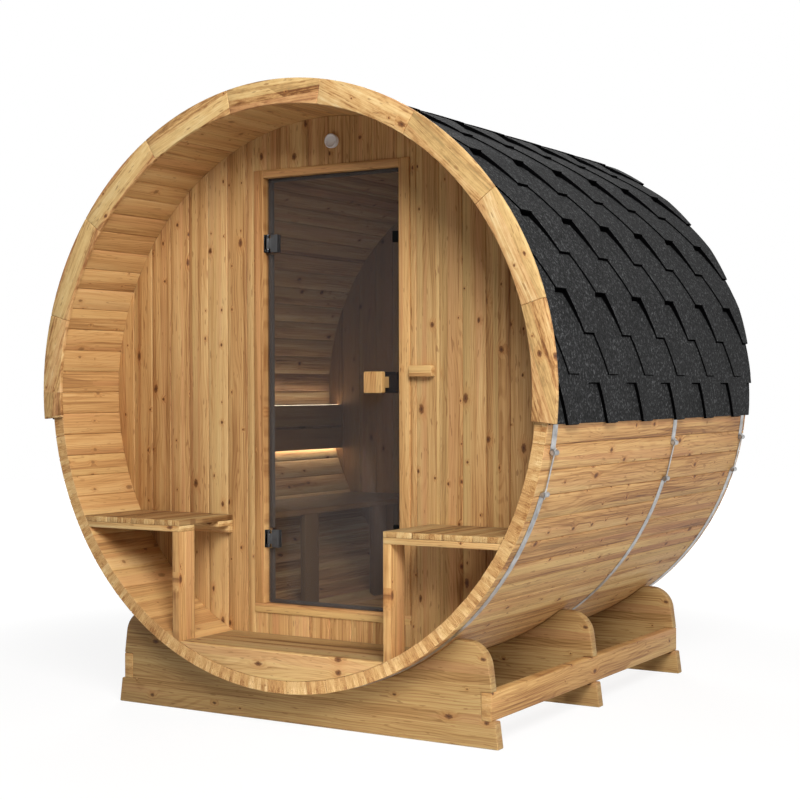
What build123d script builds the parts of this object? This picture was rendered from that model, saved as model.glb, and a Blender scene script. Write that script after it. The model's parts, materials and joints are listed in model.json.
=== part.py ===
"""Barrel sauna with a porch: a round cabin of staves on three saddles.

Millimetres. X runs to the right seen from the porch, Y runs from the porch to the rear, and Z is up.
The ground is Z = 0 and the barrel's axis lies in the plane X = 0, with its staves centred on Y = 0.
"""
from build123d import *
import math
import os

# Clearances
SEAT = 0.3                  # between pieces that rest on each other
RUN = 0.25                  # around the hinge pins and the tension rods
SWING = 5.5                 # around the door
JOIN = 1.0                  # by which fused shapes reach into each other
SIDE_GAP = 0.4              # between like boards that lie side by side

# Barrel
STAVE_COUNT = 78
STAVES_PER_NODE = 13
STAVE_R = 1000.0            # flat outer faces, from the axis
STAVE_T = 43.0
STAVE_LENGTH = 1785.0
STAVE_CHAMFER = 2.5

# Saddles and rails
SADDLE_T = 38.0
SADDLE_UNDER = 120.0        # from the ground to the lowest stave
SADDLE_WIDTH = 1.550        # at the ground, of the staves' outer radius
SADDLE_LEAN = 7.5           # degrees by which its ends lean inwards
SADDLE_FRONT_IN = 100.0     # front face of the front saddle, from the staves' front ends
SADDLE_MIDDLE_AT = 0.485    # of the staves' length
SADDLE_BACK_IN = 118.0      # rear face of the back saddle, from the staves' rear ends
EAR_R = 88.0
EAR_AT = 0.785              # ears' top below the axis, of the staves' outer radius
RAIL_T = 38.0
RAIL_H = 90.0
RAIL_LIFT = 87.0            # underside of the rails, above the ground

# Walls
WALL_T = 42.0
PORCH_DEPTH = 305.0
BOARD_PITCH = 88.5
BOARD_JOINT_X = -348.0
BOARD_CHAMFER = 2.5
REAR_RECESS = 6.0

# Deck and floor
DECK_RISE = 95.0            # top of the deck, above the inside of the lowest stave
DECK_T = 22.0
DECK_BOARDS = 3
FLOOR_BOARDS = 14
SKIRT_T = 18.0
SKIRT_BACK = 2.0

# Doorway
OPEN_WIDTH = 565.0          # clear opening between the jambs
OPEN_SHIFT = 11.5           # its middle, to the right of the axis
SILL_RISE = 106.0           # top of the sill, above the deck
OPEN_TOP = 0.763            # top of the opening above the axis, of the staves' outer radius
JAMB_W = 42.0
HEAD_H = 27.0
SILL_H = 32.0
FRAME_PROUD = 5.0
STOP_W = 12.0
STOP_T = 18.0

# Door
GLASS_T = 8.0
GLASS_RECESS = 15.0         # front of the glass, behind the wall's face
HINGE_FROM_TOP = 234.0      # middle of the upper hinge, below the opening's top
HINGE_FROM_SILL = 232.0
HINGE_H = 63.0
HINGE_INSET = 12.0          # hinge axis, from the left jamb
HINGE_AHEAD = 8.0           # hinge axis, ahead of the glass
HINGE_LEAF_T = 2.5
KNUCKLE_R = 6.5
KNUCKLE_H = 13.0
KNUCKLE_GAP = 4.5           # from the knuckles to the front plate's edge
PIN_R = 3.5
PLATE_W = 30.0
PLATE_T = 8.0
REAR_PLATE_T = 5.0
CLIP_W = 28.0
CLIP_H = 38.0
CLIP_T = 5.0
CLIP_FROM_TOP = 236.0
CLIP_FROM_SILL = 284.0
KNOB_SIZE = 73.0
KNOB_T = 22.0
KNOB_STANDOFF = 30.0
KNOB_STEM_W = 67.0
KNOB_STEM_H = 38.0
KNOB_FROM_EDGE = 79.0       # middle of the knob, from the glass's free edge
KNOB_Z = 32.0
KNOB_ROUND = 5.0

# Fittings on the front wall
BLOCK_W = 89.0
BLOCK_H = 38.0
BLOCK_T = 24.0
BLOCK_FROM_JAMB = 7.0
BLOCK_Z = 69.0
BLOCK_ROUND = 9.0
VENT_X = 26.0
VENT_AT = 0.869             # middle of the vent above the axis, of the staves' outer radius
VENT_BASE_R = 24.0
VENT_BASE_T = 6.0
VENT_CAP_R = 25.5
VENT_CAP_T = 6.0
VENT_GAP = 5.0
VENT_STEM_R = 16.0

# Fascia
FASCIA_COUNT = 9
FASCIA_UNDER = 49.0         # inner edge, inside the staves' outer radius
FASCIA_OVER = 34.0          # front arch's outer edge, outside it
FASCIA_T = 15.0
FASCIA_END = -5.4           # degrees, right-hand end

# Roof
COURSES = 12
EAVE = -5.7                 # degrees, right-hand eave
SHINGLE_THICK = 12.0        # at the lower edge of a course
SHINGLE_THIN = 7.0          # at its upper edge

# Bands
BAND_W = 34.0
BAND_T = 0.8
BAND_FRONT_IN = 55.0        # middle of the front band, from the staves' front ends
BAND_MIDDLE_AT = 0.579      # of the staves' length
BAND_BACK_IN = 40.0
BAND_LOW_END = -18.0        # degrees, where the tensioner bridges the band
BAND_HIGH_END = -10.5
NUT_R = 7.0
NUT_OVER = 1.0              # nuts past each side of the band
ROD_R = 3.0
ROD_REACH = 15.0

# Seats in the porch
SEAT_RISE = 419.0           # top of the seats, above the deck
SEAT_T = 20.0
SEAT_SLATS = 4
SLAT_GAP = 1.2
UNDER_BOARD_T = 20.0
LEG_T = 30.0
LEG_W = 86.0
LEDGER_H = 24.0
LEDGER_T = 24.0

# Bench and backrest in the cabin
BENCH_RISE = 404.0
BENCH_T = 22.0
BENCH_SLATS = 4
BENCH_SET_OUT = 15.0        # front edge, outside the floor's edge
BENCH_LEG_T = 24.0
BENCH_LEG_W = 92.0
BENCH_LEGS_AT = (0.441, 0.722)      # of the staves' length
REST_RISE = 200.0           # lower edge of the backrest, above the bench
REST_H = 93.0
REST_GAP = 10.0
REST_T = 20.0
REST_BEHIND = 16.0          # from the backrest to the staves, at its lower edge
REST_BLOCK_W = 60.0
REST_BLOCKS = 3
LIGHT_SIZE = 9.0
LIGHT_GAP = 10.0

# Derived
FULL_TURN = 360.0
AXIS_Z = STAVE_R + SADDLE_UNDER
FRONT = -STAVE_LENGTH / 2
REAR = STAVE_LENGTH / 2
STAVE_HALF_ANGLE = FULL_TURN / STAVE_COUNT / 2
STAVE_CORNER_R = STAVE_R / math.cos(math.radians(STAVE_HALF_ANGLE))
STAVE_IN_R = STAVE_R - STAVE_T
INSIDE_R = STAVE_IN_R - SEAT
CRADLE_R = STAVE_CORNER_R + SEAT
BAND_OUT_R = CRADLE_R + BAND_T
SADDLE_HALF = STAVE_R * SADDLE_WIDTH / 2
LEAN = math.radians(SADDLE_LEAN)
SADDLE_FRONTS = (
    FRONT + SADDLE_FRONT_IN,
    FRONT + STAVE_LENGTH * SADDLE_MIDDLE_AT,
    REAR - SADDLE_BACK_IN - SADDLE_T,
)
EAR_DROP = STAVE_R * EAR_AT
RAIL_Z = (RAIL_LIFT - AXIS_Z, RAIL_LIFT + RAIL_H - AXIS_Z)
RAIL_OUT = SADDLE_HALF - (RAIL_LIFT + RAIL_H) * math.tan(LEAN)
FASCIA_R_IN = STAVE_R - FASCIA_UNDER
FASCIA_R_OUT = STAVE_R + FASCIA_OVER
SHINGLE_REAR = REAR + FASCIA_T
BAND_MIDDLES = (
    FRONT + BAND_FRONT_IN,
    FRONT + STAVE_LENGTH * BAND_MIDDLE_AT,
    REAR - BAND_BACK_IN,
)
WALL_FRONT = FRONT + PORCH_DEPTH
WALL_BACK = WALL_FRONT + WALL_T
REAR_WALL_FRONT = REAR - REAR_RECESS - WALL_T
CABIN_Y = (WALL_BACK + SEAT, REAR_WALL_FRONT - SEAT)
FRAME_FRONT = WALL_FRONT - FRAME_PROUD
FRAME_BACK = WALL_BACK + FRAME_PROUD
DECK_DROP = STAVE_IN_R - DECK_RISE
SEAT_DROP = DECK_DROP - SEAT_RISE
BENCH_DROP = DECK_DROP - BENCH_RISE
OPEN_X = (OPEN_SHIFT - OPEN_WIDTH / 2, OPEN_SHIFT + OPEN_WIDTH / 2)
OPEN_Z = (SILL_RISE - DECK_DROP, STAVE_R * OPEN_TOP)
GLASS_FRONT = WALL_FRONT + GLASS_RECESS
GLASS_BACK = GLASS_FRONT + GLASS_T
GLASS_X = (OPEN_X[0] + SWING, OPEN_X[1] - SWING)
GLASS_Z = (OPEN_Z[0] + SWING, OPEN_Z[1] - SWING)
HINGE_X = OPEN_X[0] + HINGE_INSET
HINGE_Y = GLASS_FRONT - HINGE_AHEAD
HINGE_MIDDLES = (OPEN_Z[1] - HINGE_FROM_TOP, OPEN_Z[0] + HINGE_FROM_SILL)
CLIP_MIDDLES = (OPEN_Z[1] - CLIP_FROM_TOP, OPEN_Z[0] + CLIP_FROM_SILL)
KNOB_X = GLASS_X[1] - KNOB_FROM_EDGE
REST_Z = REST_RISE - BENCH_DROP


def polar(radius, degrees):
    """Point in the XZ plane at an angle from +X about the barrel's axis."""
    angle = math.radians(degrees)
    return radius * math.cos(angle), AXIS_Z + radius * math.sin(angle)


def face_of(edges):
    return Face(Wire(edges))


def lines(points):
    """Closed run of straight edges through points."""
    return [Edge.make_line(a, b) for a, b in zip(points, points[1:] + points[:1])]


def along_y(points, y0, y1):
    """Prism of an outline of (x, z) points."""
    corners = [Vector(x, y0, z) for x, z in points]
    return Solid.extrude(face_of(lines(corners)), Vector(0, y1 - y0, 0))


def along_z(points, z0, z1):
    """Prism of an outline of (x, y) points, with heights from the barrel's axis."""
    corners = [Vector(x, y, AXIS_Z + z0) for x, y in points]
    return Solid.extrude(face_of(lines(corners)), Vector(0, 0, z1 - z0))


def block(x, y, z):
    """Box from three (low, high) pairs, with z from the barrel's axis."""
    outline = [(x[0], y[0]), (x[1], y[0]), (x[1], y[1]), (x[0], y[1])]
    return along_z(outline, z[0], z[1])


def rod_y(x, z, radius, y0, y1):
    return Solid.make_cylinder(radius, y1 - y0, Plane((x, y0, AXIS_Z + z), z_dir=(0, 1, 0)))


def rod_z(x, y, radius, z0, z1):
    return Solid.make_cylinder(radius, z1 - z0, Plane((x, y, AXIS_Z + z0), z_dir=(0, 0, 1)))


def arc_sector(r_in, r_out, a0, a1, y0, y1):
    """Piece of a ring about the barrel's axis between two angles."""
    def at(radius, degrees):
        x, z = polar(radius, degrees)
        return Vector(x, y0, z)
    middle = (a0 + a1) / 2
    edges = [
        Edge.make_line(at(r_in, a0), at(r_out, a0)),
        Edge.make_three_point_arc(at(r_out, a0), at(r_out, middle), at(r_out, a1)),
        Edge.make_line(at(r_out, a1), at(r_in, a1)),
        Edge.make_three_point_arc(at(r_in, a1), at(r_in, middle), at(r_in, a0)),
    ]
    return Solid.extrude(face_of(edges), Vector(0, y1 - y0, 0))


def first_solid(shape):
    return max(shape.solids(), key=lambda solid: solid.volume)


def save(name, solids):
    export_step(Compound(children=solids), f"parts/{name}.step")


def mirrored(solids):
    return [first_solid(mirror(solid, Plane.YZ)) for solid in solids]


def stave(index):
    """One stave, with its joint planes pointing at the axis."""
    tangent = math.tan(math.radians(STAVE_HALF_ANGLE))
    trim = SIDE_GAP / 2 / math.cos(math.radians(STAVE_HALF_ANGLE))
    rows = [
        (STAVE_R, STAVE_CHAMFER),
        (STAVE_R - STAVE_CHAMFER, 0.0),
        (STAVE_IN_R + STAVE_CHAMFER, 0.0),
        (STAVE_IN_R, STAVE_CHAMFER),
    ]
    right = [(radius * tangent - trim - inset, radius) for radius, inset in rows]
    left = [(-offset, radius) for offset, radius in reversed(right)]
    middle = math.radians((2 * index + 1) * STAVE_HALF_ANGLE)
    points = []
    for offset, radius in right + left:
        x = radius * math.cos(middle) - offset * math.sin(middle)
        z = radius * math.sin(middle) + offset * math.cos(middle)
        points.append((x, AXIS_Z + z))
    return along_y(points, FRONT, REAR)


def board(x0, x1, y0, y1, z0, z1):
    """Upright board with eased long edges."""
    c = BOARD_CHAMFER
    outline = [
        (x0 + c, y0), (x1 - c, y0), (x1, y0 + c), (x1, y1 - c),
        (x1 - c, y1), (x0 + c, y1), (x0, y1 - c), (x0, y0 + c),
    ]
    return along_z(outline, z0, z1)


def board_edges(x0, x1):
    """Board joints of the shared grid between two sides."""
    first = math.ceil((x0 - BOARD_JOINT_X) / BOARD_PITCH)
    last = math.floor((x1 - BOARD_JOINT_X) / BOARD_PITCH)
    joints = [BOARD_JOINT_X + BOARD_PITCH * n for n in range(first, last + 1)]
    shortest = BOARD_PITCH / 4
    joints = [x for x in joints if x - x0 > shortest and x1 - x > shortest]
    return [x0] + joints + [x1]


def wall_boards(x, y, z):
    """Boards between two sides, cut round to the inside of the barrel."""
    disc = rod_y(0, 0, INSIDE_R, y[0], y[1])
    edges = board_edges(x[0], x[1])
    made = []
    for left, right in zip(edges, edges[1:]):
        piece = board(left + SIDE_GAP / 2, right - SIDE_GAP / 2, y[0], y[1], z[0], z[1])
        made.append(first_solid(piece & disc))
    return made


def in_barrel(solid, y0, y1):
    """The part of a solid that fits inside the barrel."""
    return first_solid(solid & rod_y(0, 0, INSIDE_R, y0, y1))


def ring_half(drop):
    """Half the barrel's inside width at a depth below its axis."""
    return math.sqrt(INSIDE_R ** 2 - drop ** 2)


def saddle(y0):
    """Saddle board with leaning ends, rounded ears and a notch at each end for a rail."""
    y1 = y0 + SADDLE_T
    half = SADDLE_HALF
    ear_z = -EAR_DROP - EAR_R
    side_x = half - (ear_z + AXIS_Z) * math.tan(LEAN)
    ear_x = side_x - EAR_R / math.cos(LEAN)
    top_x = math.sqrt(CRADLE_R ** 2 - EAR_DROP ** 2)
    halfway = (math.pi / 2 + LEAN) / 2
    low = (ear_x + EAR_R * math.cos(LEAN), ear_z + EAR_R * math.sin(LEAN))
    bow = (ear_x + EAR_R * math.cos(halfway), ear_z + EAR_R * math.sin(halfway))

    def at(x, z):
        return Vector(x, y0, AXIS_Z + z)
    edges = [
        Edge.make_line(at(-half, -AXIS_Z), at(half, -AXIS_Z)),
        Edge.make_line(at(half, -AXIS_Z), at(*low)),
        Edge.make_three_point_arc(at(*low), at(*bow), at(ear_x, -EAR_DROP)),
        Edge.make_line(at(ear_x, -EAR_DROP), at(top_x, -EAR_DROP)),
        Edge.make_three_point_arc(
            at(top_x, -EAR_DROP), at(0, -CRADLE_R), at(-top_x, -EAR_DROP)),
        Edge.make_line(at(-top_x, -EAR_DROP), at(-ear_x, -EAR_DROP)),
        Edge.make_three_point_arc(
            at(-ear_x, -EAR_DROP), at(-bow[0], bow[1]), at(-low[0], low[1])),
        Edge.make_line(at(-low[0], low[1]), at(-half, -AXIS_Z)),
    ]
    whole = Solid.extrude(face_of(edges), Vector(0, SADDLE_T, 0))
    notch_x = (RAIL_OUT - RAIL_T - SEAT, half + SADDLE_T)
    notch_z = (RAIL_Z[0] - SEAT, RAIL_Z[1] + SEAT)
    notch = block(notch_x, (y0 - SADDLE_T, y1 + SADDLE_T), notch_z)
    return first_solid(whole - notch - mirror(notch, Plane.YZ))


def rail():
    x = (RAIL_OUT - RAIL_T, RAIL_OUT)
    return block(x, (SADDLE_FRONTS[0], SADDLE_FRONTS[-1] + SADDLE_T), RAIL_Z)


def fascia(y0, r_out):
    """Arch of boards over one end of the staves."""
    step = (FULL_TURN / 2 - 2 * FASCIA_END) / FASCIA_COUNT
    trim = math.degrees(SIDE_GAP / 2 / FASCIA_R_IN)
    pieces = []
    for index in range(FASCIA_COUNT):
        a0 = FASCIA_END + index * step + trim
        a1 = FASCIA_END + (index + 1) * step - trim
        pieces.append(arc_sector(FASCIA_R_IN, r_out, a0, a1, y0, y0 + FASCIA_T))
    return pieces


def courses():
    """Shingle courses of the right-hand half, from the eave to the ridge and over the rear arch."""
    step = (FULL_TURN / 4 - EAVE) / COURSES
    inner = (BAND_OUT_R + SEAT) / math.cos(math.radians(step / 2))
    trim = math.degrees(SIDE_GAP / 2 / inner)
    pieces = []
    for index in range(COURSES):
        a0 = EAVE + index * step + trim
        a1 = EAVE + (index + 1) * step - trim
        outline = [
            polar(inner, a0), polar(inner + SHINGLE_THICK, a0),
            polar(inner + SHINGLE_THIN, a1), polar(inner, a1),
        ]
        pieces.append(along_y(outline, FRONT + SEAT, SHINGLE_REAR))
    return pieces


def band(middle):
    """Flat steel band around the staves, open where the tensioner bridges it."""
    y0 = middle - BAND_W / 2
    turn = (BAND_HIGH_END, FULL_TURN + BAND_LOW_END)
    return arc_sector(CRADLE_R, BAND_OUT_R, turn[0], turn[1], y0, y0 + BAND_W)


def tensioner(middle):
    """Two cross nuts on the band's ends and the threaded rod that draws them together."""
    radius = BAND_OUT_R + NUT_R + SEAT
    ends = [polar(radius, degrees) for degrees in (BAND_LOW_END, BAND_HIGH_END)]
    reach = BAND_W / 2 + NUT_OVER
    centres = [Vector(x, middle, z) for x, z in ends]
    along = (centres[1] - centres[0]).normalized()
    start = centres[0] - along * ROD_REACH
    length = (centres[1] - centres[0]).length + 2 * ROD_REACH
    bore = Solid.make_cylinder(ROD_R + RUN, length, Plane(start, z_dir=along))
    pieces = [Solid.make_cylinder(ROD_R, length, Plane(start, z_dir=along))]
    for x, z in ends:
        nut = rod_y(x, z - AXIS_Z, NUT_R, middle - reach, middle + reach)
        pieces.append(first_solid(nut - bore))
    return pieces


def door_frame():
    y = (FRAME_FRONT, FRAME_BACK)
    outer = (OPEN_X[0] - JAMB_W, OPEN_X[1] + JAMB_W)
    head_top = OPEN_Z[1] + HEAD_H
    return [
        block((outer[0], OPEN_X[0]), y, (OPEN_Z[0], head_top)),
        block((OPEN_X[1], outer[1]), y, (OPEN_Z[0], head_top)),
        block((OPEN_X[0] + SEAT, OPEN_X[1] - SEAT), y, (OPEN_Z[1], head_top)),
        block(outer, y, (OPEN_Z[0] - SILL_H, OPEN_Z[0] - SEAT)),
    ]


def door_stops():
    """Strips behind the glass, left out where the hinges' rear plates pass."""
    y = (FRAME_BACK - STOP_T, FRAME_BACK)
    left = (OPEN_X[0] + SEAT, OPEN_X[0] + STOP_W)
    right = (OPEN_X[1] - STOP_W, OPEN_X[1] - SEAT)
    low = OPEN_Z[0] + SEAT
    high = OPEN_Z[1] - SEAT
    room = HINGE_H / 2 + SWING
    runs = [
        (low, HINGE_MIDDLES[1] - room),
        (HINGE_MIDDLES[1] + room, HINGE_MIDDLES[0] - room),
        (HINGE_MIDDLES[0] + room, high),
    ]
    pieces = [block(left, y, run) for run in runs]
    pieces.append(block(right, y, (low, high)))
    between = (left[1] + SEAT, right[0] - SEAT)
    pieces.append(block(between, y, (low, low + STOP_W)))
    pieces.append(block(between, y, (high - STOP_W, high)))
    return pieces


def hinge_brackets():
    """Leaf on the left jamb with an upper and a lower knuckle, and the pin through them."""
    pieces = []
    for middle in HINGE_MIDDLES:
        low = middle - HINGE_H / 2
        high = middle + HINGE_H / 2
        wall = OPEN_X[0] + SEAT
        leaf = block((wall, wall + HINGE_LEAF_T), (FRAME_FRONT + HINGE_LEAF_T, GLASS_BACK), (low, high))
        bracket = leaf + rod_z(HINGE_X, HINGE_Y, PIN_R, low, high)
        for z0 in (low, high - KNUCKLE_H):
            z1 = z0 + KNUCKLE_H
            ear_y = (HINGE_Y - KNUCKLE_R / 2, HINGE_Y + KNUCKLE_R / 2)
            bracket += rod_z(HINGE_X, HINGE_Y, KNUCKLE_R, z0, z1)
            bracket += block((wall, HINGE_X), ear_y, (z0, z1))
        pieces.append(first_solid(bracket))
    return pieces


def hinge_plates():
    """Plates that clamp the glass, the front one with the knuckle that turns on the pin."""
    pieces = []
    for middle in HINGE_MIDDLES:
        low = middle - HINGE_H / 2
        high = middle + HINGE_H / 2
        turn = (low + KNUCKLE_H + RUN, high - KNUCKLE_H - RUN)
        x0 = HINGE_X + KNUCKLE_R + KNUCKLE_GAP
        x = (x0, x0 + PLATE_W)
        front_y = (GLASS_FRONT - SEAT - PLATE_T, GLASS_FRONT - SEAT)
        plate = block(x, front_y, (low, high))
        plate += block((HINGE_X, x0 + JOIN), (HINGE_Y - JOIN, front_y[1]), turn)
        plate += rod_z(HINGE_X, HINGE_Y, KNUCKLE_R, turn[0], turn[1])
        plate -= rod_z(HINGE_X, HINGE_Y, PIN_R + RUN, low, high)
        pieces.append(first_solid(plate))
        rear_y = (GLASS_BACK + SEAT, GLASS_BACK + SEAT + REAR_PLATE_T)
        pieces.append(block(x, rear_y, (low, high)))
    return pieces


def door_clips():
    """Guards on the front of the glass, at its free edge."""
    x = (GLASS_X[1] - CLIP_W, GLASS_X[1])
    pieces = []
    for middle in CLIP_MIDDLES:
        z = (middle - CLIP_H / 2, middle + CLIP_H / 2)
        pieces.append(block(x, (GLASS_FRONT - SEAT - CLIP_T, GLASS_FRONT - SEAT), z))
    return pieces


def knob(y0, y1, stem_y0, stem_y1):
    """Square wooden knob on an oblong stem."""
    half = KNOB_SIZE / 2
    x = (KNOB_X - half, KNOB_X + half)
    body = block(x, (y0, y1), (KNOB_Z - half, KNOB_Z + half))
    body = body.fillet(KNOB_ROUND, body.edges().filter_by(Axis.Y))
    stem_x = (KNOB_X - KNOB_STEM_W / 2, KNOB_X + KNOB_STEM_W / 2)
    stem_z = (KNOB_Z - KNOB_STEM_H / 2, KNOB_Z + KNOB_STEM_H / 2)
    return first_solid(body + block(stem_x, (stem_y0, stem_y1), stem_z))


def door_handle():
    front = GLASS_FRONT - SEAT - KNOB_STANDOFF
    back = GLASS_BACK + SEAT + KNOB_STANDOFF
    return [
        knob(front - KNOB_T, front, front - JOIN, GLASS_FRONT - SEAT),
        knob(back, back + KNOB_T, GLASS_BACK + SEAT, back + JOIN),
    ]


def wall_block():
    """Small wooden block beside the door with its upper right corner rounded."""
    x0 = OPEN_X[1] + JAMB_W + BLOCK_FROM_JAMB
    y1 = WALL_FRONT - SEAT
    z = (BLOCK_Z - BLOCK_H / 2, BLOCK_Z + BLOCK_H / 2)
    body = block((x0, x0 + BLOCK_W), (y1 - BLOCK_T, y1), z)
    corners = body.edges().filter_by(Axis.Y).sort_by(lambda e: e.center().X + e.center().Z)
    return [first_solid(body.fillet(BLOCK_ROUND, corners[-1:]))]


def vent():
    """Round vent over the door: base, stem and cap."""
    wall = WALL_FRONT - SEAT
    cap = wall - VENT_BASE_T - VENT_GAP
    z = STAVE_R * VENT_AT
    body = rod_y(VENT_X, z, VENT_BASE_R, wall - VENT_BASE_T, wall)
    body += rod_y(VENT_X, z, VENT_STEM_R, cap - JOIN, wall)
    body += rod_y(VENT_X, z, VENT_CAP_R, cap - VENT_CAP_T, cap)
    return [first_solid(body)]


def deck(y0, y1, count):
    """Boards across the barrel, with their ends cut to its inside."""
    pitch = (y1 - y0) / count
    z = (-DECK_DROP - DECK_T, -DECK_DROP)
    x = (-STAVE_R, STAVE_R)
    pieces = []
    for index in range(count):
        low = y0 + index * pitch + SIDE_GAP / 2
        high = low + pitch - SIDE_GAP
        pieces.append(in_barrel(block(x, (low, high), z), low, high))
    return pieces


def porch_skirt():
    """Segment board that closes the front of the porch below the deck."""
    y0 = FRONT + SKIRT_BACK
    y1 = y0 + SKIRT_T
    return [in_barrel(block((-STAVE_R, STAVE_R), (y0, y1), (-STAVE_R, -DECK_DROP)), y0, y1)]


def slats(inner, drop, thick, count, y0, y1):
    """Seat slats along the barrel from an inner edge out to the staves."""
    z = (-drop - thick, -drop)
    outer = ring_half(drop)
    pitch = (outer - inner + SLAT_GAP) / count
    pieces = []
    for index in range(count):
        low = inner + index * pitch
        high = low + pitch - SLAT_GAP
        reach = high if index < count - 1 else STAVE_R
        pieces.append(in_barrel(block((low, reach), (y0, y1), z), y0, y1))
    return pieces


def porch_bench():
    """Right-hand porch seat: slats over a flat board at each end, a leg board and a wall ledger."""
    y0 = FRONT
    y1 = WALL_FRONT - SEAT
    inner = ring_half(DECK_DROP)
    pieces = slats(inner, SEAT_DROP, SEAT_T, SEAT_SLATS, y0, y1)
    top = -SEAT_DROP - SEAT_T - SEAT
    under_z = (top - UNDER_BOARD_T, top)
    reach = (inner, STAVE_R)
    for low, high in ((y0, y0 + LEG_W), (y1 - LEG_W, y1)):
        pieces.append(in_barrel(block(reach, (low, high), under_z), y0, y1))
    leg_z = (-STAVE_R, under_z[0] - SEAT)
    pieces.append(in_barrel(block((inner, inner + LEG_T), (y0, y0 + LEG_W), leg_z), y0, y1))
    ledger_z = (under_z[0] - SEAT - LEDGER_H, under_z[0] - SEAT)
    pieces.append(in_barrel(block(reach, (y1 - LEDGER_T, y1), ledger_z), y0, y1))
    return pieces


def inner_bench():
    """Bench along the left side of the cabin: slats on upright leg boards."""
    y0, y1 = CABIN_Y
    inner = ring_half(DECK_DROP) + BENCH_SET_OUT
    pieces = slats(inner, BENCH_DROP, BENCH_T, BENCH_SLATS, y0, y1)
    leg_z = (-STAVE_R, -BENCH_DROP - BENCH_T - SEAT)
    for fraction in BENCH_LEGS_AT:
        low = FRONT + STAVE_LENGTH * fraction
        leg = block((inner, inner + BENCH_LEG_T), (low, low + BENCH_LEG_W), leg_z)
        pieces.append(in_barrel(leg, y0, y1))
    return mirrored(pieces)


def rest_back():
    """Rear face of the backrest, as a distance left of the axis."""
    return ring_half(REST_Z) - REST_BEHIND


def backrest():
    """Two boards along the left side of the cabin, on blocks against the staves."""
    x1 = rest_back()
    x = (x1 - REST_T, x1)
    upper = REST_Z + REST_H + REST_GAP
    pieces = [block(x, CABIN_Y, (z, z + REST_H)) for z in (REST_Z, upper)]
    clear = LIGHT_SIZE + LIGHT_GAP
    block_z = (REST_Z + clear, upper + REST_H - clear)
    step = (CABIN_Y[1] - CABIN_Y[0]) / REST_BLOCKS
    for index in range(REST_BLOCKS):
        middle = CABIN_Y[0] + (index + 0.5) * step
        run = (middle - REST_BLOCK_W / 2, middle + REST_BLOCK_W / 2)
        piece = block((x1 + SEAT, STAVE_R), run, block_z)
        pieces.append(in_barrel(piece, run[0], run[1]))
    return mirrored(pieces)


def light_strips():
    """Lit strips behind the upper and the lower edge of the backrest."""
    x0 = rest_back() + SEAT
    x = (x0, x0 + LIGHT_SIZE)
    top = REST_Z + 2 * REST_H + REST_GAP
    z_runs = ((top - LIGHT_SIZE, top), (REST_Z, REST_Z + LIGHT_SIZE))
    return mirrored([block(x, CABIN_Y, z) for z in z_runs])


def main():
    os.makedirs("parts", exist_ok=True)
    for group in range(STAVE_COUNT // STAVES_PER_NODE):
        first = group * STAVES_PER_NODE
        save(f"staves_{group + 1:02d}", [stave(first + n) for n in range(STAVES_PER_NODE)])
    places = ("front", "middle", "back")
    for name, y0 in zip(places, SADDLE_FRONTS):
        save(f"saddle_{name}", [saddle(y0)])
    save("rail_right", [rail()])
    save("rail_left", mirrored([rail()]))

    wall_y = (WALL_FRONT, WALL_BACK)
    rear_y = (REAR_WALL_FRONT, REAR - REAR_RECESS)
    hole_x = (OPEN_X[0] - JAMB_W - SEAT, OPEN_X[1] + JAMB_W + SEAT)
    whole_z = (-STAVE_R, STAVE_R)
    save("front_wall_left", wall_boards((-INSIDE_R, hole_x[0]), wall_y, whole_z))
    save("front_wall_right", wall_boards((hole_x[1], INSIDE_R), wall_y, whole_z))
    over_z = (OPEN_Z[1] + HEAD_H + SEAT, STAVE_R)
    under_z = (-STAVE_R, OPEN_Z[0] - SILL_H - SEAT)
    save("front_wall_over_door", wall_boards(hole_x, wall_y, over_z))
    save("front_wall_under_door", wall_boards(hole_x, wall_y, under_z))
    centre = BOARD_JOINT_X + BOARD_PITCH * round(-BOARD_JOINT_X / BOARD_PITCH)
    save("back_wall_left", wall_boards((-INSIDE_R, centre), rear_y, whole_z))
    save("back_wall_right", wall_boards((centre, INSIDE_R), rear_y, whole_z))

    save("door_frame", door_frame())
    save("door_stops", door_stops())
    save("door_glass", [block(GLASS_X, (GLASS_FRONT, GLASS_BACK), GLASS_Z)])
    save("door_hinge_brackets", hinge_brackets())
    save("door_hinge_plates", hinge_plates())
    save("door_clips", door_clips())
    save("door_handle", door_handle())
    save("wall_block", wall_block())
    save("vent", vent())

    save("front_fascia", fascia(FRONT - SEAT - FASCIA_T, FASCIA_R_OUT))
    save("rear_fascia", fascia(REAR + SEAT, BAND_OUT_R))
    save("roof_shingles_right", courses())
    save("roof_shingles_left", mirrored(courses()))
    for name, middle in zip(places, BAND_MIDDLES):
        save(f"band_{name}", [band(middle)])
    rods = [piece for middle in BAND_MIDDLES for piece in tensioner(middle)]
    save("band_tensioners", rods)

    save("porch_deck", deck(FRONT + SKIRT_BACK + SKIRT_T + SEAT, WALL_FRONT - SEAT, DECK_BOARDS))
    save("porch_skirt", porch_skirt())
    save("porch_bench_right", porch_bench())
    save("porch_bench_left", mirrored(porch_bench()))
    save("cabin_floor", deck(CABIN_Y[0], CABIN_Y[1], FLOOR_BOARDS))
    save("cabin_bench", inner_bench())
    save("cabin_backrest", backrest())
    save("cabin_lights", light_strips())


main()
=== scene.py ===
"""Looks of the barrel sauna: eased timber, toothed shingles, steel bands, smoked glass door."""
import json
import math

import bmesh
import bpy
from mathutils import Matrix, Vector

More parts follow.
